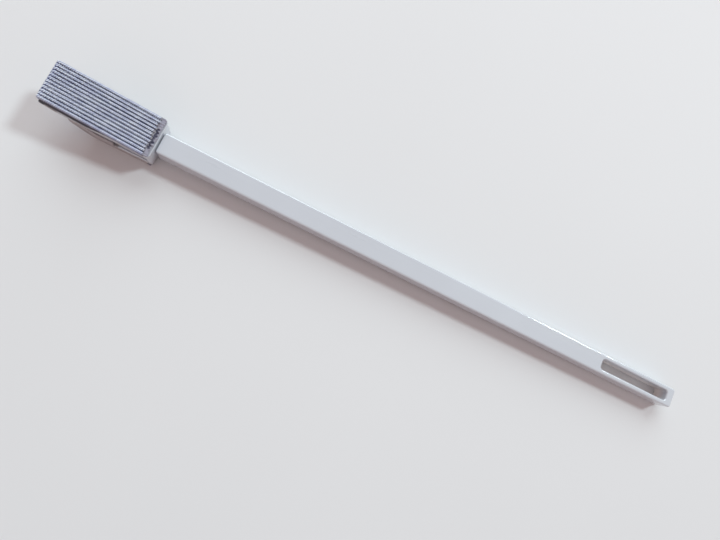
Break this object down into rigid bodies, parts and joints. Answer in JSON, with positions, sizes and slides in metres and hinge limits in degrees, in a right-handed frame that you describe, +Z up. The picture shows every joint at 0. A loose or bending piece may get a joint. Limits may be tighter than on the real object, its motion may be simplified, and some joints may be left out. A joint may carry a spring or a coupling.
{
  "type": "air conditioner louver cleaner",
  "caption": "Slim white wand with a hanging slot and a two-jaw head in ribbed grey-blue microfibre covers, for wiping both faces of louver slats.",
  "frame": {"origin": "middle of the bounding box, on the plane of the lower cover's outer face", "axes": "+X along the handle from the head to the hanging slot, +Y across it, +Z up through the open slot and the upper jaw's cover"},
  "size_m": [0.3708, 0.0218, 0.0249],
  "materials": {
    "handle": "soft gloss, white",
    "upper_jaw": "soft gloss, white",
    "lower_jaw": "soft gloss, white",
    "upper_cover": "ribbed microfibre knit, grey-blue",
    "lower_cover": "ribbed microfibre knit, grey-blue",
    "upper_hem": "folded and sewn knit edge",
    "lower_hem": "folded and sewn knit edge",
    "foam": "open-cell foam sheet",
    "screw": "bright zinc"
  },
  "bodies": {
    "wand": {"handle": "handle", "upper_jaw": "upper_jaw", "upper_foam": "foam", "jaw_screw_1": "screw", "jaw_screw_2": "screw"},
    "sprung_jaw": {"lower_jaw": "lower_jaw", "lower_foam": "foam", "lower_cover": "lower_cover", "lower_outer_hem": "lower_hem", "lower_inner_hem": "lower_hem"},
    "upper_dressing": {"upper_cover": "upper_cover", "upper_outer_hem": "upper_hem", "upper_inner_hem": "upper_hem"}
  },
  "joints": [
    {"name": "lower_jaw_flex", "type": "hinge", "parent": "wand", "child": "sprung_jaw", "pos_m": [-0.1321, 0, 0.0046], "axis": [0, 1, 0], "range_deg": [-12, 0], "stiffness_Nm_per_rad": 0.6},
    {"name": "upper_cover_pull", "type": "slide", "parent": "wand", "child": "upper_dressing", "axis": [-0.9914, 0, 0.1305], "range_m": [0, 0.056]}
  ]
}
